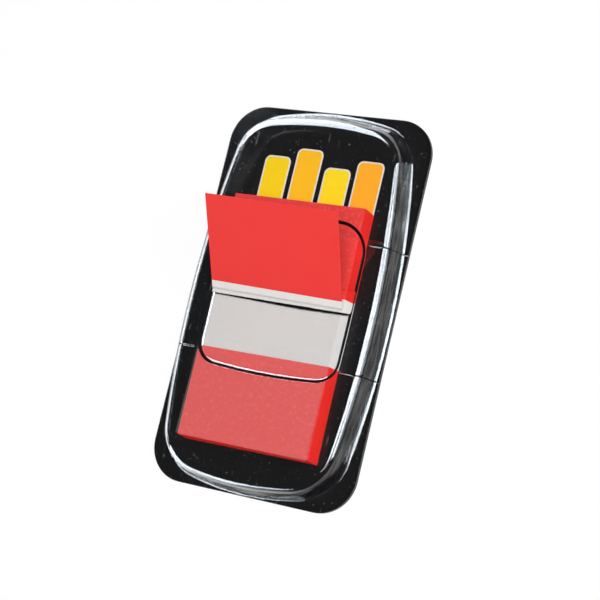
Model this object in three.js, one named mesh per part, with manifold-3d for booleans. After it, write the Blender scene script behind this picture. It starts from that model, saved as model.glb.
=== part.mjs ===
// A dispenser of sticky index tabs, lying on its back with the clear cover up.
// A black printed card carries a pad of film tabs, a thermoformed clear cover closes over the pad,
// and the top tab is drawn up through the slot of the cover.
// Millimetres. +X is to the right, +Y towards the printed end, +Z out of the card.
// The origin is the middle of the card's underside.

import * as THREE from 'three';
import { mergeVertices } from 'three/addons/utils/BufferGeometryUtils.js';
import Module from 'manifold-3d';

const wasm = await Module();
wasm.setup();

// Driving dimensions: the tabs
const tabWidth = 25.4;
const tabLength = 43.2;
const tabFilm = 0.1;
const padThickness = 3.1;
const padLeanSide = 0.3;
const padLeanEnd = 0.3;
const padShift = -1.2;
const padEndRoom = 7.9;
const padTurn = THREE.MathUtils.degToRad(0.4);
const raisedSlip = -0.9;
const raisedTurn = THREE.MathUtils.degToRad(-0.5);
const raisedTilt = THREE.MathUtils.degToRad(35.3);
const raisedBend = 1.5;
const raisedRise = 17.05;

// Driving dimensions: the card
const cardSideMargin = 6.95;
const cardEndMargin = 12.4;
const cardThickness = 0.4;
const cardCorner = 6.5;

// Driving dimensions: the clear cover
const coverFilm = 0.25;
const coverClearance = 0.15;
const flangeSide = 0.1;
const flangeEnd = 0.15;
const domeDraft = THREE.MathUtils.degToRad(20);
const crownFillet = 1.5;
const footFillet = 0.5;
const waistY = -2;
const crownTopRun = 3.5;
const crownLowRun = 1.9;
const baseSideRadius = 150;
const baseEndRadius = 48;
const baseTopCorner = 8;
const baseLowCorner = 9;
const crownSideRadius = 190;
const crownEndRadius = 62;
const crownTopCorner = 6.5;
const crownLowCorner = 8;

// Driving dimensions: the recess round the slot, the slot and the score grooves
const recessSideMargin = 0.6;
const recessAboveSlot = 15;
const recessBelowSlot = 12.55;
const recessDepth = 0.5;
const recessSlope = 0.3;
const recessSideRadius = 600;
const recessEndRadius = 110;
const recessTopCorner = 5;
const recessLowCorner = 3.2;
const slotShift = -0.3;
const slotSideClearance = 1.1;
const slotLowClearance = 0.25;
const slotFreeWidth = 1.6;
const slotCorner = 0.5;
const grooveSpacing = 21.8;
const grooveWidth = 0.5;
const grooveDepth = 0.1;
const grooveMargin = 0.4;

// How finely the round stretches are stepped
const sideSteps = 7;
const cornerSteps = 8;
const endSteps = 6;
const filletSteps = 6;
const bendSteps = 6;
const outlineSteps = 8;
const samePoint = 1e-4;

// The card and the recess take their size from the tabs
const cardWidth = tabWidth + 2 * cardSideMargin;
const cardLength = tabLength + 2 * cardEndMargin;
const padBottomY = padEndRoom - cardLength / 2;
const recessWidth = tabWidth + 2 * recessSideMargin;

// Heights that follow from the pad and the films on it
const padTop = cardThickness + padThickness;
const floorUnderside = padTop + tabFilm + coverClearance;
const floorTop = floorUnderside + coverFilm;
const crownTop = floorTop + recessDepth;
const flangeTop = cardThickness + coverFilm;

// The raised tab lies flat up to its bend and then crosses the cover's floor on the slant.
// The slot's low edge clears the tab there, also where the tab's slight turn brings a corner
// nearer, and the rest of the slot's width is free.
const raisedFlat = tabLength - raisedBend * raisedTilt - raisedRise;
const bendY = padBottomY + raisedFlat;
const crossingY = (height) => bendY + raisedBend * Math.sin(raisedTilt)
  + (height - padTop - raisedBend * (1 - Math.cos(raisedTilt))) / Math.tan(raisedTilt);
const turnSlip = tabWidth / 2 * Math.sin(Math.abs(raisedTurn));
const slotLowY = crossingY(floorUnderside) - tabFilm / Math.sin(raisedTilt) - turnSlip
  - slotLowClearance;
const slotHighY = crossingY(floorTop) + slotFreeWidth;
const recessLength = recessAboveSlot + recessBelowSlot;
const recessY = slotLowY + (recessAboveSlot - recessBelowSlot) / 2;

// A closed mesh of triangles as a solid that can be cut and joined
function solidOf(geometry) {
  const bare = geometry.clone();
  bare.deleteAttribute('normal');
  bare.deleteAttribute('uv');
  const merged = mergeVertices(bare, samePoint / 10);
  const vertProperties = new Float32Array(merged.attributes.position.array);
  const triVerts = new Uint32Array(merged.index.array);
  return new wasm.Manifold(new wasm.Mesh({ numProp: 3, vertProperties, triVerts }));
}

function geometryOf(solid) {
  const mesh = solid.getMesh();
  const geometry = new THREE.BufferGeometry();
  geometry.setAttribute('position', new THREE.BufferAttribute(new Float32Array(mesh.vertProperties), 3));
  geometry.setIndex(new THREE.BufferAttribute(new Uint32Array(mesh.triVerts), 1));
  geometry.computeVertexNormals();
  return geometry;
}

// A solid through a stack of rings, lowest first, each with the same number of points,
// anticlockwise seen from above, and a height of its own
function stackedSolid(rings) {
  const count = rings[0].points.length;
  const positions = [];
  for (const ring of rings) {
    for (const point of ring.points) positions.push(point.x, point.y, ring.height);
  }
  const index = [];
  for (let level = 0; level < rings.length - 1; level += 1) {
    for (let i = 0; i < count; i += 1) {
      const next = (i + 1) % count;
      const a = level * count + i;
      const b = level * count + next;
      index.push(a, b, b + count, a, b + count, a + count);
    }
  }
  const top = (rings.length - 1) * count;
  for (const [a, b, c] of THREE.ShapeUtils.triangulateShape(rings[0].points, [])) {
    index.push(a, c, b);
  }
  for (const [a, b, c] of THREE.ShapeUtils.triangulateShape(rings.at(-1).points, [])) {
    index.push(top + a, top + b, top + c);
  }
  const geometry = new THREE.BufferGeometry();
  geometry.setAttribute('position', new THREE.Float32BufferAttribute(positions, 3));
  geometry.setIndex(index);
  return solidOf(geometry);
}

// Points on an arc, without its last one
function arcPoints(centre, radius, from, to, steps) {
  const points = [];
  for (let i = 0; i < steps; i += 1) {
    const angle = from + (to - from) * i / steps;
    points.push(new THREE.Vector2(
      centre.x + radius * Math.cos(angle),
      centre.y + radius * Math.sin(angle)));
  }
  return points;
}

// A quarter of an outline, from the middle of its side to the middle of its end:
// a bowed side and a bowed end, joined by a round corner
function bowedQuarter({ halfWidth, reach, sideRadius, endRadius, corner }) {
  const sideCentre = new THREE.Vector2(halfWidth - sideRadius, 0);
  const endCentre = new THREE.Vector2(0, reach - endRadius);
  const span = endCentre.clone().sub(sideCentre);
  const gap = span.length();
  const toSide = sideRadius - corner;
  const toEnd = endRadius - corner;
  const along = (toSide ** 2 - toEnd ** 2 + gap ** 2) / (2 * gap);
  const across = Math.sqrt(toSide ** 2 - along ** 2);
  const unit = span.clone().divideScalar(gap);
  const cornerCentre = new THREE.Vector2(
    sideCentre.x + unit.x * along - unit.y * across,
    sideCentre.y + unit.y * along + unit.x * across);
  const sideAngle = cornerCentre.clone().sub(sideCentre).angle();
  const endAngle = cornerCentre.clone().sub(endCentre).angle();
  return [
    ...arcPoints(sideCentre, sideRadius, 0, sideAngle, sideSteps),
    ...arcPoints(cornerCentre, corner, sideAngle, endAngle, cornerSteps),
    ...arcPoints(endCentre, endRadius, endAngle, Math.PI / 2, endSteps),
    new THREE.Vector2(0, reach),
  ];
}

// The whole outline, from a quarter for its top end and one for its low end
function bowedOutline(topQuarter, lowQuarter, centreY) {
  const top = bowedQuarter(topQuarter);
  const low = bowedQuarter(lowQuarter);
  const outline = [
    ...top,
    ...top.slice(1, -1).reverse().map((p) => new THREE.Vector2(-p.x, p.y)),
    ...low.map((p) => new THREE.Vector2(-p.x, -p.y)),
    ...low.slice(1, -1).reverse().map((p) => new THREE.Vector2(p.x, -p.y)),
  ];
  return outline.map((p) => new THREE.Vector2(p.x, p.y + centreY));
}

function roundedRectangle(width, lowEnd, highEnd, corner) {
  const right = width / 2 - corner;
  const top = highEnd - corner;
  const low = lowEnd + corner;
  const shape = new THREE.Shape();
  shape.absarc(right, top, corner, 0, Math.PI / 2);
  shape.absarc(-right, top, corner, Math.PI / 2, Math.PI);
  shape.absarc(-right, low, corner, Math.PI, 1.5 * Math.PI);
  shape.absarc(right, low, corner, 1.5 * Math.PI, 2 * Math.PI);
  return shape;
}

// A shape's points, each of them once
function outlinePoints(shape) {
  const points = shape.getPoints(outlineSteps);
  return points.filter((point, i) => point.distanceTo(points.at(i - 1)) > samePoint);
}

function plate(shape, bottom, top) {
  const points = outlinePoints(shape);
  return stackedSolid([{ points, height: bottom }, { points, height: top }]);
}

function block(x0, x1, y0, y1, z0, z1) {
  const box = new THREE.BoxGeometry(x1 - x0, y1 - y0, z1 - z0);
  box.translate((x0 + x1) / 2, (y0 + y1) / 2, (z0 + z1) / 2);
  return solidOf(box);
}

// The wall of the dome, seen in section: a concave foot on the flange, a drafted wall and
// a round crown edge. An inset of the film's thickness gives the inner face of the same wall.
const wallLength = (crownTop - flangeTop - (crownFillet + footFillet) * (1 - Math.sin(domeDraft)))
  / Math.cos(domeDraft);
const crownRun = (crownFillet + footFillet) * Math.cos(domeDraft) + wallLength * Math.sin(domeDraft);

function domeSection(inset) {
  const section = [];
  for (let i = 0; i <= filletSteps; i += 1) {
    const angle = Math.PI / 2 + (domeDraft - Math.PI / 2) * i / filletSteps;
    section.push({
      run: (footFillet + inset) * Math.cos(angle),
      height: flangeTop + footFillet - (footFillet + inset) * Math.sin(angle),
    });
  }
  for (let i = 0; i <= filletSteps; i += 1) {
    const angle = domeDraft + (Math.PI / 2 - domeDraft) * i / filletSteps;
    section.push({
      run: crownRun - (crownFillet - inset) * Math.cos(angle),
      height: crownTop - crownFillet + (crownFillet - inset) * Math.sin(angle),
    });
  }
  return section;
}

// The outline of the dome between its base, at run 0, and the edge of its flat crown
function domeRing(run) {
  const share = run / crownRun;
  const { lerp } = THREE.MathUtils;
  const quarter = (end, endRun, baseCorner, crownCorner) => ({
    halfWidth: cardWidth / 2 - flangeSide - run,
    reach: cardLength / 2 - flangeEnd - end * waistY - endRun * share,
    sideRadius: lerp(baseSideRadius, crownSideRadius, share),
    endRadius: lerp(baseEndRadius, crownEndRadius, share),
    corner: lerp(baseCorner, crownCorner, share),
  });
  return bowedOutline(
    quarter(1, crownTopRun, baseTopCorner, crownTopCorner),
    quarter(-1, crownLowRun, baseLowCorner, crownLowCorner),
    waistY);
}

function domeSolid(inset, footing) {
  const rings = domeSection(inset).map(({ run, height }) => ({ points: domeRing(run), height }));
  return stackedSolid([{ points: rings[0].points, height: footing }, ...rings]);
}

// The recess as a tool: a shallow pocket whose sides slope, grown by the film for the inner face
function recessTool(grown) {
  const ring = (height) => {
    const wider = recessSlope * (height - crownTop) / recessDepth + grown;
    const quarter = (corner) => ({
      halfWidth: recessWidth / 2 + wider,
      reach: recessLength / 2 + wider,
      sideRadius: recessSideRadius + wider,
      endRadius: recessEndRadius + wider,
      corner: corner + wider,
    });
    return {
      points: bowedOutline(quarter(recessTopCorner), quarter(recessLowCorner), recessY),
      height: height - grown,
    };
  };
  return stackedSolid([ring(floorTop), ring(crownTop), ring(crownTop + recessDepth)]);
}

function cardOutline() {
  return roundedRectangle(cardWidth, -cardLength / 2, cardLength / 2, cardCorner);
}

function makeBackingCard() {
  return plate(cardOutline(), 0, cardThickness);
}

function makeGrooveTool() {
  const reach = cardWidth / 2;
  const inner = recessWidth / 2 + grooveMargin;
  const strips = [];
  for (const side of [-1, 1]) {
    for (const end of [-1, 1]) {
      const y = end * grooveSpacing / 2;
      const xs = [side * inner, side * reach].sort((a, b) => a - b);
      strips.push(block(xs[0], xs[1], y - grooveWidth / 2, y + grooveWidth / 2,
        flangeTop + footFillet, crownTop + coverFilm));
    }
  }
  return strips.reduce((all, strip) => all.add(strip)).subtract(domeSolid(grooveDepth, cardThickness));
}

function makeClearCover() {
  const flange = plate(cardOutline(), cardThickness, flangeTop);
  const outer = domeSolid(0, cardThickness).add(flange)
    .subtract(recessTool(0))
    .subtract(makeGrooveTool());
  const room = domeSolid(coverFilm, cardThickness - coverFilm).subtract(recessTool(coverFilm));
  const slot = plate(
    roundedRectangle(tabWidth + 2 * slotSideClearance, slotLowY, slotHighY, slotCorner),
    floorUnderside - coverClearance / 2, crownTop + coverFilm).translate([slotShift, 0, 0]);
  return outer.subtract(room).subtract(slot);
}

// The pad leans, so that each lower tab lies a little further to the right and to the low end
function makeTabPad() {
  const box = new THREE.BoxGeometry(tabWidth, tabLength, padThickness);
  box.rotateZ(padTurn);
  box.translate(padShift, padBottomY + tabLength / 2, cardThickness + padThickness / 2);
  const position = box.attributes.position;
  for (let i = 0; i < position.count; i += 1) {
    const depth = (padTop - position.getZ(i)) / padThickness;
    position.setX(i, position.getX(i) + padLeanSide * depth);
    position.setY(i, position.getY(i) - padLeanEnd * depth);
  }
  return solidOf(box);
}

// The top tab: flat on the pad up to the slot, then bent up and straight
function makeRaisedTab() {
  const bendCentre = new THREE.Vector2(0, raisedBend);
  const down = -Math.PI / 2;
  const along = new THREE.Vector2(Math.cos(raisedTilt), Math.sin(raisedTilt));
  const side = (inset) => {
    const bend = arcPoints(bendCentre, raisedBend - inset, down, down + raisedTilt, bendSteps);
    const bendEnd = new THREE.Vector2(
      (raisedBend - inset) * along.y,
      raisedBend - (raisedBend - inset) * along.x);
    return [
      new THREE.Vector2(-raisedFlat, inset),
      ...bend,
      bendEnd,
      bendEnd.clone().addScaledVector(along, raisedRise),
    ];
  };
  const section = new THREE.Shape([...side(0), ...side(tabFilm).reverse()]);
  const geometry = new THREE.ExtrudeGeometry(section, { depth: tabWidth, bevelEnabled: false });
  geometry.translate(0, 0, -tabWidth / 2);
  // The section is drawn across the tab, in Y and Z, and its depth becomes the tab's width
  const upright = new THREE.Matrix4().makeBasis(
    new THREE.Vector3(0, 1, 0), new THREE.Vector3(0, 0, 1), new THREE.Vector3(1, 0, 0));
  geometry.applyMatrix4(upright);
  geometry.rotateZ(raisedTurn);
  geometry.translate(slotShift + raisedSlip, bendY, padTop);
  return solidOf(geometry);
}

const cardBlack = new THREE.MeshStandardMaterial({ color: 0x1b1a1b, roughness: 0.25, metalness: 0 });
const clearFilm = new THREE.MeshStandardMaterial({
  color: 0xeef2f4, roughness: 0.08, metalness: 0, transparent: true, opacity: 0.3,
});
const tabRed = new THREE.MeshStandardMaterial({ color: 0xe2514e, roughness: 0.5, metalness: 0 });
const topTabRed = new THREE.MeshStandardMaterial({ color: 0xeb413e, roughness: 0.45, metalness: 0 });

function piece(name, solid, material) {
  const mesh = new THREE.Mesh(geometryOf(solid), material);
  mesh.name = name;
  return mesh;
}

const dispenser = new THREE.Group();
dispenser.add(piece('backing_card', makeBackingCard(), cardBlack));
dispenser.add(piece('clear_cover', makeClearCover(), clearFilm));
dispenser.add(piece('tab_pad', makeTabPad(), tabRed));
dispenser.add(piece('raised_tab', makeRaisedTab(), topTabRed));

export default dispenser;
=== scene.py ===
from math import atan2, cos, pi, radians, sin, sqrt, tan

import bmesh
import bpy
from mathutils import Matrix, Quaternion, Vector, noise


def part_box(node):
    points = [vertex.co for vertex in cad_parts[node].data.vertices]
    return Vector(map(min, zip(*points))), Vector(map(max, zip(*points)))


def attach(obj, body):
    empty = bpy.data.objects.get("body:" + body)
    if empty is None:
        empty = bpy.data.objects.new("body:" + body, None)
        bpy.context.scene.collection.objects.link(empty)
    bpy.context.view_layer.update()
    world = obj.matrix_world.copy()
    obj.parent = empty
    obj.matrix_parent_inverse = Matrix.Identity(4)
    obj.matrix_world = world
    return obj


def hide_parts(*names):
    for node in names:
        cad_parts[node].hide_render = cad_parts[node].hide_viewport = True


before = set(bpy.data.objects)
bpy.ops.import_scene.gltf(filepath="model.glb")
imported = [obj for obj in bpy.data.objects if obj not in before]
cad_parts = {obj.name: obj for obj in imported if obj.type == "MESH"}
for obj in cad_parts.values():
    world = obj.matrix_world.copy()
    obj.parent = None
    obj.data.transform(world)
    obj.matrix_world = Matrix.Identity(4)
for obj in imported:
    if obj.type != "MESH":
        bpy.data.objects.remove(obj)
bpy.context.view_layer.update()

# The camera looks steeply down on the dispenser, which lies on its back, and is rolled so that
# the printed end points up and a little to the right. Lengths here are in millimetres, and mm
# turns them into metres.
mm = 0.001
camera_place = Vector((129.3, -38.5, 241.3)) * mm
camera_aim = Vector((1.39, 0.68, 0)) * mm
camera_roll = radians(-61.49)
camera_lens = 96.78

camera = bpy.data.objects.new("camera", bpy.data.cameras.new("camera"))
camera.data.lens = camera_lens
camera.data.sensor_width = 36
camera.location = camera_place
camera.rotation_mode = "QUATERNION"
camera.rotation_quaternion = (camera_aim - camera_place).to_track_quat("-Z", "Y") @ Quaternion(
    (0, 0, 1), camera_roll)
bpy.context.scene.collection.objects.link(camera)
bpy.context.scene.camera = camera

# The backing card is die-cut board with round corners, printed black all over and varnished, with
# a little dust and fibre on it. The cover's flange is sealed to its front.
card_low, card_high = (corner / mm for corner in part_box("backing_card"))
card_corner = 6.5
card_ink = (0.0075, 0.0075, 0.008)
card_ink_grey = (0.02, 0.02, 0.021)
card_dust = (0.2, 0.2, 0.19)
card_fibre_stretch = (1, 0.15, 1)


class Shade:
    """A number, colour or vector that varies over a surface, for use in sums."""

    def __init__(self, finish, socket):
        self.finish = finish
        self.socket = socket

    def sum(self, operation, *terms):
        return self.finish.node("Math", {"operation": operation}, dict(enumerate(terms)))

    def __add__(self, other):
        return self.sum("ADD", self, other)

    __radd__ = __add__

    def __sub__(self, other):
        return self.sum("SUBTRACT", self, other)

    def __rsub__(self, other):
        return self.sum("SUBTRACT", other, self)

    def __mul__(self, other):
        return self.sum("MULTIPLY", self, other)

    __rmul__ = __mul__

    def __gt__(self, other):
        return self.sum("GREATER_THAN", self, other)

    def __lt__(self, other):
        return self.sum("LESS_THAN", self, other)

    def __abs__(self):
        return self.sum("ABSOLUTE", self)


class Finish:
    """A material, made node by node."""

    def __init__(self, name):
        self.material = bpy.data.materials.new(name)
        self.material.use_nodes = True
        self.tree = self.material.node_tree
        self.tree.nodes.clear()
        self.output = self.tree.nodes.new("ShaderNodeOutputMaterial")

    def node(self, kind, settings=(), values=(), output=0):
        """A node of this kind with its settings, and with values or links on its sockets."""
        made = self.tree.nodes.new("ShaderNode" + kind)
        for name, value in dict(settings).items():
            setattr(made, name, value)
        for name, value in dict(values).items():
            if isinstance(value, Shade):
                self.tree.links.new(value.socket, made.inputs[name])
            else:
                made.inputs[name].default_value = value
        return Shade(self, made.outputs[output])

    def place(self):
        """The object coordinates in millimetres."""
        return self.node("VectorMath", {"operation": "SCALE"},
                         {0: self.node("TexCoord", output="Object"), "Scale": 1 / mm})

    def axes(self):
        """The object coordinates x, y and z in millimetres, each by itself."""
        parts = self.node("SeparateXYZ", values={0: self.place()}).socket.node
        return [Shade(self, axis) for axis in parts.outputs]

    def grain(self, size, detail, stretch=(1, 1, 1)):
        """Noise from 0 to 1 with blotches of about this size in millimetres, and longer ones
        along an axis whose stretch is below 1."""
        where = self.node("VectorMath", {"operation": "MULTIPLY"}, {0: self.place(), 1: stretch})
        return self.node("TexNoise", values={"Vector": where, "Scale": 1 / size, "Detail": detail})

    def step(self, value, start, end):
        """0 below start, 1 above end, smooth between them."""
        return self.node("MapRange", {"interpolation_type": "SMOOTHSTEP"},
                         {"Value": value, "From Min": start, "From Max": end})

    def blend(self, share, first, second):
        """A colour between two colours."""
        first, second = ((*c, 1) if isinstance(c, tuple) else c for c in (first, second))
        return self.node("Mix", {"data_type": "RGBA"}, {0: share, 6: first, 7: second}, output=2)

    def bump(self, height, distance):
        """A normal from a height between 0 and 1, where 1 stands distance millimetres proud."""
        return self.node("Bump", values={"Height": height, "Distance": distance * mm})

    def surface(self, shader):
        """Ends the material with this shader."""
        self.tree.links.new(shader.socket, self.output.inputs["Surface"])
        return self.material


def make_piece(name, bm, materials, nodes, sharp=30):
    """Turns a mesh drawn in millimetres into a finished piece on the dispenser. Edges that turn
    more than sharp degrees stay crisp, and None keeps the smoothing that the mesh has."""
    bmesh.ops.scale(bm, vec=(mm, mm, mm), verts=bm.verts)
    mesh = bpy.data.meshes.new(name)
    if sharp:
        for face in bm.faces:
            face.smooth = True
    bm.to_mesh(mesh)
    bm.free()
    if sharp:
        mesh.set_sharp_from_angle(angle=radians(sharp))
    for material in materials:
        mesh.materials.append(material)
    piece = bpy.data.objects.new(name, mesh)
    bpy.context.scene.collection.objects.link(piece)
    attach(piece, "root")
    if nodes:
        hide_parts(*nodes)
    return piece


def rounded_plate(low, high, corner, bottom, top, steps=16):
    """A flat plate with round corners, drawn as a rectangle whose corners are bevelled."""
    plate = bmesh.new()
    verts = bmesh.ops.create_grid(plate, x_segments=1, y_segments=1, size=0.5)["verts"]
    bmesh.ops.scale(plate, vec=(high[0] - low[0], high[1] - low[1], 1), verts=verts)
    bmesh.ops.translate(plate, verts=verts,
                        vec=((high[0] + low[0]) / 2, (high[1] + low[1]) / 2, bottom))
    bmesh.ops.bevel(plate, geom=verts, offset=corner, segments=steps, profile=0.5,
                    affect="VERTICES", material=-1)
    raised = bmesh.ops.extrude_face_region(plate, geom=plate.faces[:], use_keep_orig=True)["geom"]
    bmesh.ops.translate(plate, vec=(0, 0, top - bottom),
                        verts=[v for v in raised if isinstance(v, bmesh.types.BMVert)])
    bmesh.ops.recalc_face_normals(plate, faces=plate.faces)
    return plate


def card_finish():
    finish = Finish("black_varnished_card")
    haze = finish.grain(9, 3)
    specks = finish.step(finish.grain(0.5, 1), 0.7, 0.75)
    fibres = finish.step(finish.grain(0.9, 2, stretch=card_fibre_stretch), 0.68, 0.74)
    colour = finish.blend(haze * 0.25, card_ink, card_ink_grey)
    colour = finish.blend(specks * 0.45 + fibres * 0.3, colour, card_dust)
    relief = finish.bump(finish.grain(0.6, 3), 0.0008)
    return finish.surface(finish.node("BsdfPrincipled", values={
        "Base Color": colour, "Roughness": 0.05 + haze * 0.04, "IOR": 1.3, "Normal": relief}))


card = rounded_plate(card_low, card_high, card_corner, card_low.z, card_high.z)
make_piece("backing_card_board", card, [card_finish()], ["backing_card"])

# The print on the card shows above the raised tab: four plain upright bars in yellow, amber and
# orange, each with a thin pale keyline. It is ink, so it lies just proud of the black.
print_low = Vector((-11.6, 14.2))
print_high = Vector((11.6, 27.2))
print_gap = 0.9
print_corner = 1.1
print_keyline = 0.28
print_film = 0.012
print_corner_steps = 8
print_heights = (0.86, 1.0, 0.78, 0.92)
print_colours = ((0.93, 0.63, 0.006), (0.95, 0.5, 0.012), (0.96, 0.68, 0.012), (0.97, 0.41, 0.02))
print_keyline_colour = (0.72, 0.7, 0.62)
print_blotch = 0.82


def ink_finish(name, ink):
    finish = Finish(name)
    mottle = finish.grain(1.2, 3)
    colour = finish.blend(mottle * 0.25, ink, tuple(print_blotch * part for part in ink))
    return finish.surface(finish.node("BsdfPrincipled", values={
        "Base Color": colour, "Roughness": 0.35 + mottle * 0.1, "Specular IOR Level": 0.03,
        "Normal": finish.bump(finish.grain(0.5, 2), 0.003)}))


bars = len(print_heights)
bar_width = (print_high.x - print_low.x - (bars - 1) * print_gap) / bars
keyline_ink = ink_finish("print_keyline_ink", print_keyline_colour)
for i, height in enumerate(print_heights):
    left = print_low.x + i * (bar_width + print_gap)
    top = print_low.y + height * (print_high.y - print_low.y)
    keyline = rounded_plate((left, print_low.y), (left + bar_width, top), print_corner,
                            card_high.z, card_high.z + print_film, print_corner_steps)
    make_piece(f"print_keyline_{i + 1}", keyline, [keyline_ink], [])
    bar = rounded_plate((left + print_keyline, print_low.y + print_keyline),
                        (left + bar_width - print_keyline, top - print_keyline),
                        print_corner - print_keyline, card_high.z + print_film,
                        card_high.z + 2 * print_film, print_corner_steps)
    make_piece(f"print_bar_{i + 1}", bar, [ink_finish(f"print_ink_{i + 1}", print_colours[i])],
               [])

# The pad is a stack of film tabs, each stuck to the next by one end. The tabs' red ends lie at
# the pad's two ends in turn, so the pad is red at both ends and white between. Its sheets slip a
# little against each other, and the whole stack leans.
pad_low, pad_high = (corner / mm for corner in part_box("tab_pad"))
tab_width = 25.4
tab_length = 43.2
red_length = 15.9
sheet_pitch = 0.1
sheet_thickness = 0.086
sheet_settle = 0.006
sheet_slip = 0.035
slip_seed = 7
pad_turn = radians(0.4)
pad_lean = 0.3
pad_red = (0.75, 0.05, 0.046)
pad_red_milky = (0.86, 0.3, 0.28)
pad_red_side = (0.78, 0.024, 0.018)
pad_red_seam = (0.5, 0.02, 0.015)
pad_white = (0.675, 0.65, 0.63)
red_edge_blur = 0.05
top_sheet_blur = 0.02


def pad_finish():
    finish = Finish("stacked_film")
    x, y, z = finish.axes()
    slanted = y - x * tan(pad_turn)
    middle_low = pad_low.y + pad_lean + red_length
    middle_high = pad_high.y - red_length
    white = finish.step(slanted, middle_low - red_edge_blur, middle_low + red_edge_blur) * (
        1 - finish.step(slanted, middle_high - red_edge_blur, middle_high + red_edge_blur))
    layers = finish.grain(0.09, 1, stretch=(0.004, 0.004, 1))
    top_sheet = pad_high.z - sheet_pitch
    top = finish.step(z, top_sheet - top_sheet_blur, top_sheet + top_sheet_blur)
    mottle = finish.grain(0.35, 3)
    milky = finish.step(finish.grain(0.6, 4), 0.5, 0.8)
    side = finish.blend(layers * 0.5, pad_red_side, pad_red_seam)
    red = finish.blend(top, side, finish.blend(milky * 0.2, pad_red, pad_red_milky))
    colour = finish.blend(white, red, pad_white)
    return finish.surface(finish.node("BsdfPrincipled", values={
        "Base Color": colour, "Roughness": 0.42 + mottle * 0.15, "Specular IOR Level": 0.03,
        "Normal": finish.bump(mottle, 0.006)}))


noise.seed_set(slip_seed)
pad = bmesh.new()
sheets = round((pad_high.z - pad_low.z) / sheet_pitch)
for i in range(sheets):
    depth = (sheets - 1 - i) / (sheets - 1)
    made = bmesh.ops.create_cube(pad, size=1)["verts"]
    bmesh.ops.scale(pad, vec=(tab_width, tab_length, sheet_thickness), verts=made)
    bmesh.ops.rotate(pad, matrix=Matrix.Rotation(pad_turn, 3, "Z"), verts=made)
    slip = noise.noise_vector(Vector((i * 0.7, 3.1, 8.4))) * sheet_slip
    bmesh.ops.translate(pad, verts=made, vec=(
        (pad_low.x + pad_high.x - pad_lean) / 2 + pad_lean * depth + slip.x,
        (pad_low.y + pad_high.y + pad_lean) / 2 - pad_lean * depth + slip.y,
        pad_low.z + (i + 0.5) * sheet_pitch - sheet_settle))
make_piece("tab_sheets", pad, [pad_finish()], ["tab_pad"])

# The top tab is a strip of matt film with one red end. It lies flat on the pad, bends at the
# slot and stands up through it, so that its red end is free to be pulled.
raised_low, raised_high = (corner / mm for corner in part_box("raised_tab"))
film = 0.1
raised_tilt = radians(35.3)
raised_turn = radians(-0.5)
raised_bend = 1.5
raised_bend_steps = 10
raised_rise = 17.05
raised_clearance = 0.006
film_white = (0.78, 0.75, 0.73)
film_red = (0.83, 0.04, 0.036)
film_red_pale = (0.85, 0.07, 0.062)


def clear_tab_finish():
    finish = Finish("translucent_tab_film")
    mottle = finish.grain(0.3, 3)
    z = finish.axes()[2]
    lifted = finish.step(z, raised_low.z + film, raised_low.z + 4 * film)
    veil = mottle * 0.1 + lifted * 0.95
    return finish.surface(finish.node("BsdfPrincipled", values={
        "Base Color": (*film_white, 1), "Roughness": 0.45, "Specular IOR Level": 0.03,
        "Alpha": veil, "Normal": finish.bump(mottle, 0.004)}))


def red_tab_finish():
    finish = Finish("red_tab_film")
    cloud = finish.grain(6, 2)
    fine = finish.grain(0.12, 3)
    colour = finish.blend(cloud * 0.25 + fine * 0.1, film_red, film_red_pale)
    return finish.surface(finish.node("BsdfPrincipled", values={
        "Base Color": colour, "Roughness": 0.5, "Specular IOR Level": 0.02,
        "Normal": finish.bump(fine, 0.003)}))


strip = bmesh.new()
raised_flat = tab_length - raised_bend * raised_tilt - raised_rise
middle_x = (raised_low.x + raised_high.x) / 2
tail = [strip.verts.new((side * tab_width / 2, -raised_flat, film / 2)) for side in (-1, 1)]
front = [strip.edges.new(tail)]


def pull(edges, vec):
    """Draws a strip of film out of these edges, and gives its new front edge."""
    made = bmesh.ops.extrude_edge_only(strip, edges=edges)["geom"]
    verts = [v for v in made if isinstance(v, bmesh.types.BMVert)]
    bmesh.ops.translate(strip, vec=vec, verts=verts)
    return [e for e in made if isinstance(e, bmesh.types.BMEdge)]


along = Vector((0, cos(raised_tilt), sin(raised_tilt)))
front = pull(front, (0, raised_flat, 0))
front = [e for e in bmesh.ops.spin(
    strip, geom=front, cent=(0, 0, raised_bend), axis=(1, 0, 0), angle=raised_tilt,
    steps=raised_bend_steps, use_merge=False)["geom_last"] if isinstance(e, bmesh.types.BMEdge)]
front = pull(front, along * (raised_rise - red_length))
clear_faces = set(strip.faces)
pull(front, along * red_length)
for face in strip.faces:
    face.material_index = 0 if face in clear_faces else 1
bmesh.ops.recalc_face_normals(strip, faces=strip.faces)
bmesh.ops.solidify(strip, geom=strip.faces[:], thickness=film)
bmesh.ops.translate(strip, vec=(0, 0, -min(v.co.z for v in strip.verts)), verts=strip.verts)
bmesh.ops.rotate(strip, matrix=Matrix.Rotation(raised_turn, 3, "Z"), verts=strip.verts)
bmesh.ops.translate(strip, verts=strip.verts, vec=(
    middle_x, raised_high.y - max(v.co.y for v in strip.verts), raised_low.z + raised_clearance))
make_piece("raised_tab_film", strip, [clear_tab_finish(), red_tab_finish()], ["raised_tab"])

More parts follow.
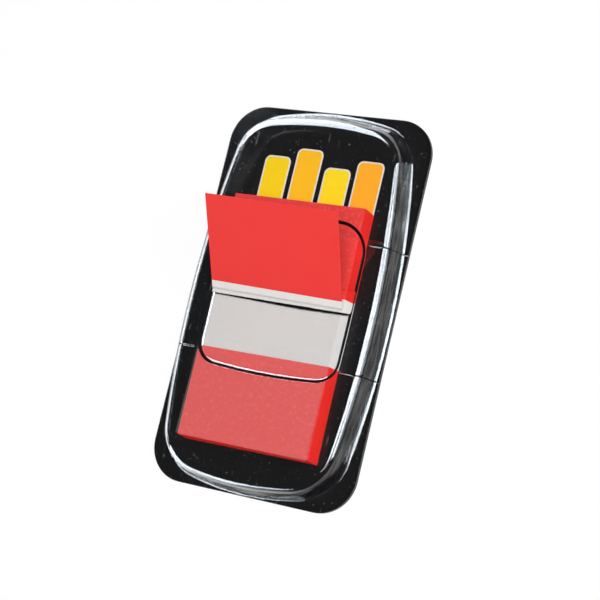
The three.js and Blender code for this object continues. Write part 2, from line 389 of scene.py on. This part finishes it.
# The cover is one sheet of clear film, thermoformed over a mould: a flange sealed to the card,
# a dome with a drafted wall, and on its crown a shallow recess whose floor presses on the tabs.
# The slot is cut into that floor, and two score grooves cross the dome on either side.
crown_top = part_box("clear_cover")[1].z / mm
cover_film = 0.24
film_tint = (0.97, 0.975, 0.98)
# film_shade is the near-black of the painted shade and painted shadow on the film's outside
film_shade = (0.004, 0.004, 0.005)
film_sharpness = 0.015
# The painted shade of the film's cut edges, near-black with paler grains
cut_dark = (0.01, 0.01, 0.011)
cut_pale = (0.1, 0.1, 0.1)
flange_height = 0.25
flange_top = card_high.z + flange_height
flange_side = 0.1
flange_end = 0.15
dome_draft = radians(20)
crown_fillet = 1.5
foot_fillet = 0.5
waist_y = -2
crown_top_run = 3.5
crown_low_run = 1.9
base_side, base_end, base_top_corner, base_low_corner = 150, 48, 8, 9
crown_side, crown_end, crown_top_corner, crown_low_corner = 190, 62, 6.5, 8
recess_depth = 0.5
recess_above, recess_below = 14.8, 12
recess_side_margin = 0.2
recess_side, recess_end, recess_top_corner, recess_low_corner = 600, 110, 5, 3.2
recess_slope = 0.5
recess_fillet = 0.5
slot_low = -0.97
slot_high = 2.98
slot_side_margin = 1.1
slot_half_width = tab_width / 2 + slot_side_margin
slot_shift = -0.3
slot_corner = 0.5
slot_sides = 16
slot_margin = 1
cut_tolerance = 1e-4
lip_cuts = 80
lip_roughness = 0.05
lip_rough_half_width = tab_width / 2 - 0.2
# Where the painted shadow at the slot's near lip is widest, and how fast it narrows
lip_dark_middle, lip_dark_taper = 4, 0.022
groove_spacing = 21.8
groove_width = 0.5
groove_depth = 0.04
groove_side_margin = 1.1
groove_inner = tab_width / 2 + recess_side_margin + groove_side_margin
straight = 1e5
side_steps, corner_steps, end_steps = 14, 20, 14
fillet_steps = 12
recess_steps = 6
recess_steepness = 0.9
flat_margin = 0.05
# Where the recess's rim ends, and the bands of the film's outside that carry painted shade or
# drawing lines, each from the place where it starts to fade in or out to the place where that ends
rim_side, rim_end = 2, 1.2
side_foot_left, side_foot_right, side_foot_change = 0.1, 0.02, (8, 13)
shoulder_low, shoulder_high, shoulder_ends = (3.55, 3.65), (4.05, 4.15), (20, 28)
wall_low, wall_high = (0.8, 1.2), (3.4, 3.9)
# end_wall_fade: where the painted shade on the wall's near end fades out
end_wall_fade = (-31, -26)
streak_stretch = (0.05, 0.05, 1)
scratch_stretch = (1, 0.05, 1)


def corner_of(half_width, side_radius, reach, end_radius, corner):
    """Centre and end angles of the round corner that joins a bowed side to a bowed end."""
    side_centre = Vector((half_width - side_radius, 0))
    end_centre = Vector((0, reach - end_radius))
    span = end_centre - side_centre
    to_side, to_end = side_radius - corner, end_radius - corner
    along_span = (to_side ** 2 - to_end ** 2 + span.length ** 2) / (2 * span.length)
    across = sqrt(to_side ** 2 - along_span ** 2)
    unit = span.normalized()
    centre = side_centre + unit * along_span + Vector((-unit.y, unit.x)) * across
    to_corner = centre - side_centre
    from_end = centre - end_centre
    return centre, atan2(to_corner.y, to_corner.x), atan2(from_end.y, from_end.x)


def bowed_outline(middle, half_width, side_radius, top, low):
    """The points of a closed outline, arc by arc from the middle of its right side."""
    (top_reach, top_end, top_corner), (low_reach, low_end, low_corner) = top, low
    high, high_side, high_turn = corner_of(half_width, side_radius, *top)
    deep, deep_side, deep_turn = corner_of(half_width, side_radius, *low)
    side = half_width - side_radius
    arcs = [
        ((side, 0), side_radius, 0, high_side, side_steps),
        (high, top_corner, high_side, high_turn, corner_steps),
        ((0, top_reach - top_end), top_end, high_turn, pi - high_turn, 2 * end_steps),
        ((-high.x, high.y), top_corner, pi - high_turn, pi - high_side, corner_steps),
        ((-side, 0), side_radius, pi - high_side, pi + deep_side, 2 * side_steps),
        (-deep, low_corner, pi + deep_side, pi + deep_turn, corner_steps),
        ((0, low_end - low_reach), low_end, pi + deep_turn, 2 * pi - deep_turn, 2 * end_steps),
        ((deep.x, -deep.y), low_corner, 2 * pi - deep_turn, 2 * pi - deep_side, corner_steps),
        ((side, 0), side_radius, 2 * pi - deep_side, 2 * pi, side_steps),
    ]
    points = []
    for (x, y), radius, start, end, steps in arcs:
        angles = (start + (end - start) * i / steps for i in range(steps))
        points += [(middle[0] + x + radius * cos(a), middle[1] + y + radius * sin(a))
                   for a in angles]
    return points


wall_fall = crown_top - flange_top - (crown_fillet + foot_fillet) * (1 - sin(dome_draft))
wall_length = wall_fall / cos(dome_draft)
crown_run = (crown_fillet + foot_fillet) * cos(dome_draft) + wall_length * sin(dome_draft)


def dome_outline(run):
    """The dome's outline between its foot, at run 0, and the edge of its crown."""
    share = run / crown_run

    def between(base, crown):
        return base + (crown - base) * share

    return bowed_outline(
        (0, waist_y), card_high.x - flange_side - run, between(base_side, crown_side),
        (card_high.y - flange_end - waist_y - crown_top_run * share,
         between(base_end, crown_end), between(base_top_corner, crown_top_corner)),
        (card_high.y - flange_end + waist_y - crown_low_run * share,
         between(base_end, crown_end), between(base_low_corner, crown_low_corner)))


def recess_outline(out):
    """The recess's outline, out millimetres outside that of its floor."""
    middle = (0, slot_low + (recess_above - recess_below) / 2)
    reach = (recess_above + recess_below) / 2 + out
    return bowed_outline(
        middle, tab_width / 2 + recess_side_margin + out, recess_side,
        (reach, recess_end, recess_top_corner + out), (reach, recess_end, recess_low_corner + out))


skin = bmesh.new()
order = skin.verts.layers.int.new("order")
flange_half = (card_high.y, straight, card_corner)
flange_edge = bowed_outline((0, 0), card_high.x, straight, flange_half, flange_half)
ring_verts = []
for i, (x, y) in enumerate(flange_edge):
    ring_verts.append(skin.verts.new((x, y, flange_top)))
    ring_verts[-1][order] = i
ring = [skin.edges.new((ring_verts[i - 1], vert)) for i, vert in enumerate(ring_verts)]


def draw_in(edges, outline, height, curved=True):
    """Extrudes the skin's inner edge, lays the new edge along the outline and gives it back."""
    made = bmesh.ops.extrude_edge_only(skin, edges=edges)["geom"]
    for face in (part for part in made if isinstance(part, bmesh.types.BMFace)):
        face.smooth = curved
    drawn = [e for e in made if isinstance(e, bmesh.types.BMEdge) and e.is_boundary]
    for vert in {v for e in drawn for v in e.verts}:
        vert.co = (*outline[vert[order]], height)
    return drawn


ring = draw_in(ring, dome_outline(-flat_margin), flange_top, curved=False)
for i in range(fillet_steps + 1):
    angle = pi / 2 + (dome_draft - pi / 2) * i / fillet_steps
    ring = draw_in(ring, dome_outline(foot_fillet * cos(angle)),
                   flange_top + foot_fillet * (1 - sin(angle)))
for i in range(fillet_steps + 1):
    angle = dome_draft + (pi / 2 - dome_draft) * i / fillet_steps
    ring = draw_in(ring, dome_outline(crown_run - crown_fillet * cos(angle)),
                   crown_top - crown_fillet * (1 - sin(angle)))
ring = draw_in(ring, dome_outline(crown_run + flat_margin), crown_top)
floor_z = crown_top - recess_depth
recess_angle = atan2(recess_depth, recess_slope) * recess_steepness
drop = recess_fillet * (1 - cos(recess_angle))
lean = (recess_depth - 2 * drop) / tan(recess_angle)
recess_reach = 2 * recess_fillet * sin(recess_angle) + lean
ring = draw_in(ring, recess_outline(recess_reach + flat_margin), crown_top, curved=False)
for i in range(recess_steps + 1):
    angle = recess_angle * i / recess_steps
    ring = draw_in(ring, recess_outline(recess_reach - recess_fillet * sin(angle)),
                   crown_top - recess_fillet * (1 - cos(angle)))
for i in range(recess_steps + 1):
    angle = recess_angle * (1 - i / recess_steps)
    ring = draw_in(ring, recess_outline(recess_fillet * sin(angle)),
                   floor_z + recess_fillet * (1 - cos(angle)))
ring = draw_in(ring, recess_outline(-flat_margin), floor_z)
for face in bmesh.ops.contextual_create(skin, geom=ring)["faces"]:
    face.smooth = False

# The slot is cut by planes all round its outline, which also reach the recess's sloping sides
slot_planes = []
for i in range(slot_sides):
    angle = 2 * pi * i / slot_sides
    across, along = round(cos(angle), 6), round(sin(angle), 6)
    reach_x = (slot_half_width - slot_corner) * ((across > 0) - (across < 0))
    reach_y = ((slot_high - slot_low) / 2 - slot_corner) * ((along > 0) - (along < 0))
    middle = Vector((slot_shift, (slot_low + slot_high) / 2, 0))
    normal = Vector((across, along, 0))
    slot_planes.append((middle + Vector((reach_x, reach_y, 0)) + normal * slot_corner, normal))


def slot_depth(point):
    """How far a point lies inside the slot's outline."""
    return min((plane - point).dot(normal) for plane, normal in slot_planes)


for plane, normal in slot_planes:
    near = [f for f in skin.faces
            if len(f.verts) > 4 or slot_depth(f.calc_center_median()) > -slot_margin]
    parts = dict.fromkeys(part for f in near for part in (*f.verts, *f.edges))
    bmesh.ops.bisect_plane(skin, geom=[*near, *parts], dist=cut_tolerance,
                           plane_co=plane, plane_no=normal)
bmesh.ops.delete(skin, context="FACES", geom=[
    f for f in skin.faces if slot_depth(f.calc_center_median()) > 0])

# The slot's edges lie above the middle of the dome's wall, and the flange's outer edge below it.
# The two long lips of the slot are ragged where they cross the level floor.
wall_middle = (flange_top + crown_top) / 2
lips = [e for e in skin.edges if e.is_boundary and e.verts[0].co.z > wall_middle
        and abs(e.verts[0].co.x - e.verts[1].co.x) > slot_corner]
bmesh.ops.subdivide_edges(skin, edges=lips, cuts=lip_cuts)
for vert in skin.verts:
    if vert.is_boundary and vert.co.z > wall_middle and abs(vert.co.x) < lip_rough_half_width:
        rough = noise.noise_vector(Vector((vert.co.x * 3.1, vert.co.y * 2.3, 1.7)))
        vert.co.y += rough.y * lip_roughness

bmesh.ops.triangulate(skin, faces=[f for f in skin.faces if len(f.verts) > 4])
bmesh.ops.recalc_face_normals(skin, faces=skin.faces)
for edge in skin.edges:
    edge.smooth = not edge.is_boundary


def passing(finish, film_shader):
    """Lets the lamps' light and what lights the tabs straight through the film."""
    path = finish.node("LightPath", output="Is Shadow Ray") + finish.node(
        "LightPath", output="Is Diffuse Ray")
    through = finish.node("BsdfTransparent", values={"Color": (*film_tint, 1)})
    return finish.surface(finish.node("MixShader", values={0: path, 1: film_shader, 2: through}))


def outer_film_finish():
    """The film's outside, with drawing lines along its wall in the relief. Painted shade darkens the
    drawn-out sides of the recess, bands on the dome's shoulders, the creases of the pressed grooves,
    streaks along the wall's drawing lines and the wall at the near end, and a painted shadow runs
    along the ragged near lip of the slot."""
    finish = Finish("clear_formed_film")
    x, y, z = finish.axes()
    inside = (abs(x) < tab_width / 2 + rim_side) * (z > floor_z - 0.02) * (
        y > slot_low - recess_below - rim_end) * (y < slot_low + recess_above + rim_end)
    # shade_patches makes the painted shade on the recess's sides and the shoulders stronger and
    # weaker at random
    shade_patches = finish.grain(1.6, 2)
    # Painted shade on the recess's drawn-out sides, from just above its floor up to the crown
    foot = floor_z + side_foot_left - finish.step(x, *side_foot_change) * (
        side_foot_left - side_foot_right)
    side = finish.step(z, foot, foot + 0.05) * (
        1 - finish.step(z, crown_top - 0.02, crown_top - 0.008)) * inside
    # Painted shade in a band along the dome's shoulders, outside the recess, fading out towards the
    # dome's ends
    shoulder_shade = finish.step(z, *shoulder_low) * (1 - finish.step(z, *shoulder_high)) * (
        1 - inside) * (1 - finish.step(abs(y), *shoulder_ends))
    # Painted shadow along the slot's near lip, ragged in width; the same noise makes the grooves'
    # painted shade ragged
    shade_raggedness = finish.grain(0.16, 3)
    lip_shadow_width = 0.2 + shade_raggedness * 0.9 - abs(x - lip_dark_middle) * lip_dark_taper
    lip_shadow = finish.step(y, slot_low - lip_shadow_width, slot_low - lip_shadow_width + 0.06) * (
        y < slot_low + 0.1) * (z < floor_z + 0.02) * inside
    off_groove = abs(abs(y) - groove_spacing / 2)
    on_dome = finish.step(abs(x), groove_inner, groove_inner + 0.2)
    pressed = (1 - finish.step(off_groove, 0, groove_width / 2)) * on_dome
    # Painted shade darkening the grooves' creases; the grooves' dent itself is in the relief
    groove_shade = (1 - finish.step(off_groove, 0.04, 0.08 + shade_raggedness * 0.12)) * on_dome
    wall = finish.step(z, *wall_low) * (1 - finish.step(z, *wall_high))
    drawn = finish.grain(0.3, 2, stretch=streak_stretch) * wall
    # Painted shade in streaks along the wall's drawing lines, whose ridges are in the relief
    wall_streak_shade = finish.step(finish.grain(0.28, 3, stretch=streak_stretch), 0.42, 0.6) * wall
    # Painted shade on the wall at the dome's near end
    end_wall_shade = wall * (1 - finish.step(y, *end_wall_fade))
    scratch = finish.step(finish.grain(0.5, 2, stretch=scratch_stretch), 0.7, 0.76)
    relief = finish.node("Bump", values={
        "Height": drawn * 0.2 - pressed, "Distance": groove_depth * mm,
        "Normal": finish.bump(finish.grain(7, 2), 0.01)})
    glass = finish.node("BsdfPrincipled", values={
        "Base Color": (*film_tint, 1), "Roughness": film_sharpness + scratch * 0.04, "IOR": 1.5,
        "Transmission Weight": 1, "Normal": relief})
    # Painted shade: where the marks below add up, the clear film gives way to this near-black opaque
    # finish
    shaded = finish.node("BsdfPrincipled", values={
        "Base Color": (*film_shade, 1), "Roughness": 0.4, "Specular IOR Level": 0.01})
    dark = side * (0.9 + shade_patches * 0.3) + lip_shadow + groove_shade * 0.85 + shoulder_shade * (0.35 + shade_patches * 0.5) + (
        wall_streak_shade * 0.5 + end_wall_shade * 0.35)
    return passing(finish, finish.node("MixShader", values={0: dark, 1: glass, 2: shaded}))


def inner_film_finish():
    """The film's inside, smooth from the mould."""
    finish = Finish("clear_film_inside")
    return passing(finish, finish.node("BsdfPrincipled", values={
        "Base Color": (*film_tint, 1), "Roughness": film_sharpness, "IOR": 1.5,
        "Transmission Weight": 1, "Normal": finish.bump(finish.grain(7, 2), 0.01)}))


def cut_film_finish():
    """The film's cut edges: painted shade, opaque and near-black with paler grains, for the darkness
    seen looking into them.
    """
    finish = Finish("clear_film_cut_edge")
    grain = finish.grain(0.12, 3)
    return finish.surface(finish.node("BsdfPrincipled", values={
        "Base Color": finish.blend(grain, cut_dark, cut_pale), "Roughness": 0.4,
        "Specular IOR Level": 0.2, "Normal": finish.bump(grain, 0.02)}))


cover = make_piece("clear_cover_shell", skin,
                   [outer_film_finish(), inner_film_finish(), cut_film_finish()],
                   ["clear_cover"], sharp=None)
film_wall = cover.modifiers.new("film", "SOLIDIFY")
film_wall.thickness = cover_film * mm
film_wall.offset = -1
film_wall.material_offset = 1
film_wall.material_offset_rim = 2

# The studio: a wide white floor and dark surroundings. Two soft boxes, overhead and on the right,
# light the dispenser, and five white cards are only mirrored in the clear film.
floor_half = 3.0
floor_white = (0.92, 0.92, 0.92)
floor_glow = 0.95
mirrored_sky = (0.85, 0.93, 1)
surroundings = (0.02, 0.02, 0.02)


def floor_finish():
    finish = Finish("white_floor")
    seen = finish.node("LightPath", output="Is Camera Ray") + finish.node(
        "LightPath", output="Is Glossy Ray") + finish.node("LightPath", output="Is Transmission Ray")
    plain = finish.node("BsdfDiffuse", values={"Color": (*floor_white, 1)})
    glow = finish.node("Emission", values={"Color": (1, 1, 1, 1), "Strength": 1})
    return finish.surface(finish.node("MixShader", values={0: seen * floor_glow, 1: plain, 2: glow}))


ground = bmesh.new()
bmesh.ops.create_grid(ground, x_segments=1, y_segments=1, size=floor_half)
floor_mesh = bpy.data.meshes.new("floor")
ground.to_mesh(floor_mesh)
ground.free()
floor_mesh.materials.append(floor_finish())
floor = bpy.data.objects.new("floor", floor_mesh)
bpy.context.scene.collection.objects.link(floor)


def soft_box(name, azimuths, elevations, radiance, lights=True, distance=0.8):
    """An area lamp that faces the dispenser and fills this many degrees of its surroundings.
    Azimuth turns from +X towards +Y. A lamp that lights nothing is a white card to be mirrored."""
    azimuth, elevation = (radians(sum(ends) / 2) for ends in (azimuths, elevations))
    lamp = bpy.data.lights.new(name, "AREA")
    lamp.shape = "RECTANGLE"
    lamp.size = 2 * distance * cos(elevation) * tan(radians(azimuths[1] - azimuths[0]) / 2)
    lamp.size_y = 2 * distance * tan(radians(elevations[1] - elevations[0]) / 2)
    lamp.energy = radiance * pi * lamp.size * lamp.size_y
    box = bpy.data.objects.new(name, lamp)
    towards = Vector((cos(azimuth) * cos(elevation), sin(azimuth) * cos(elevation), sin(elevation)))
    box.location = towards * distance
    box.rotation_mode = "QUATERNION"
    box.rotation_quaternion = towards.to_track_quat("Z", "Y")
    if not lights:
        lamp.color = mirrored_sky
    box.visible_diffuse = lights
    box.visible_glossy = not lights
    box.visible_camera = False
    bpy.context.scene.collection.objects.link(box)


soft_box("top_box", (-50, 30), (55, 86), 8.5)
soft_box("right_box", (-12, 24), (4, 50), 6.5)
soft_box("left_far_card", (108, 150), (2, 56), 11, lights=False)
soft_box("left_card", (154, 192), (4, 34), 4, lights=False)
soft_box("left_near_card", (196, 246), (5, 56), 10, lights=False)
soft_box("right_card", (-10, 37), (3, 49), 11, lights=False)
soft_box("top_card", (-12, 58), (53, 86), 13, lights=False)

world = bpy.data.worlds.new("studio")
world.use_nodes = True
world.node_tree.nodes["Background"].inputs["Color"].default_value = (*surroundings, 1)
bpy.context.scene.world = world
bpy.context.scene.view_settings.view_transform = "Standard"
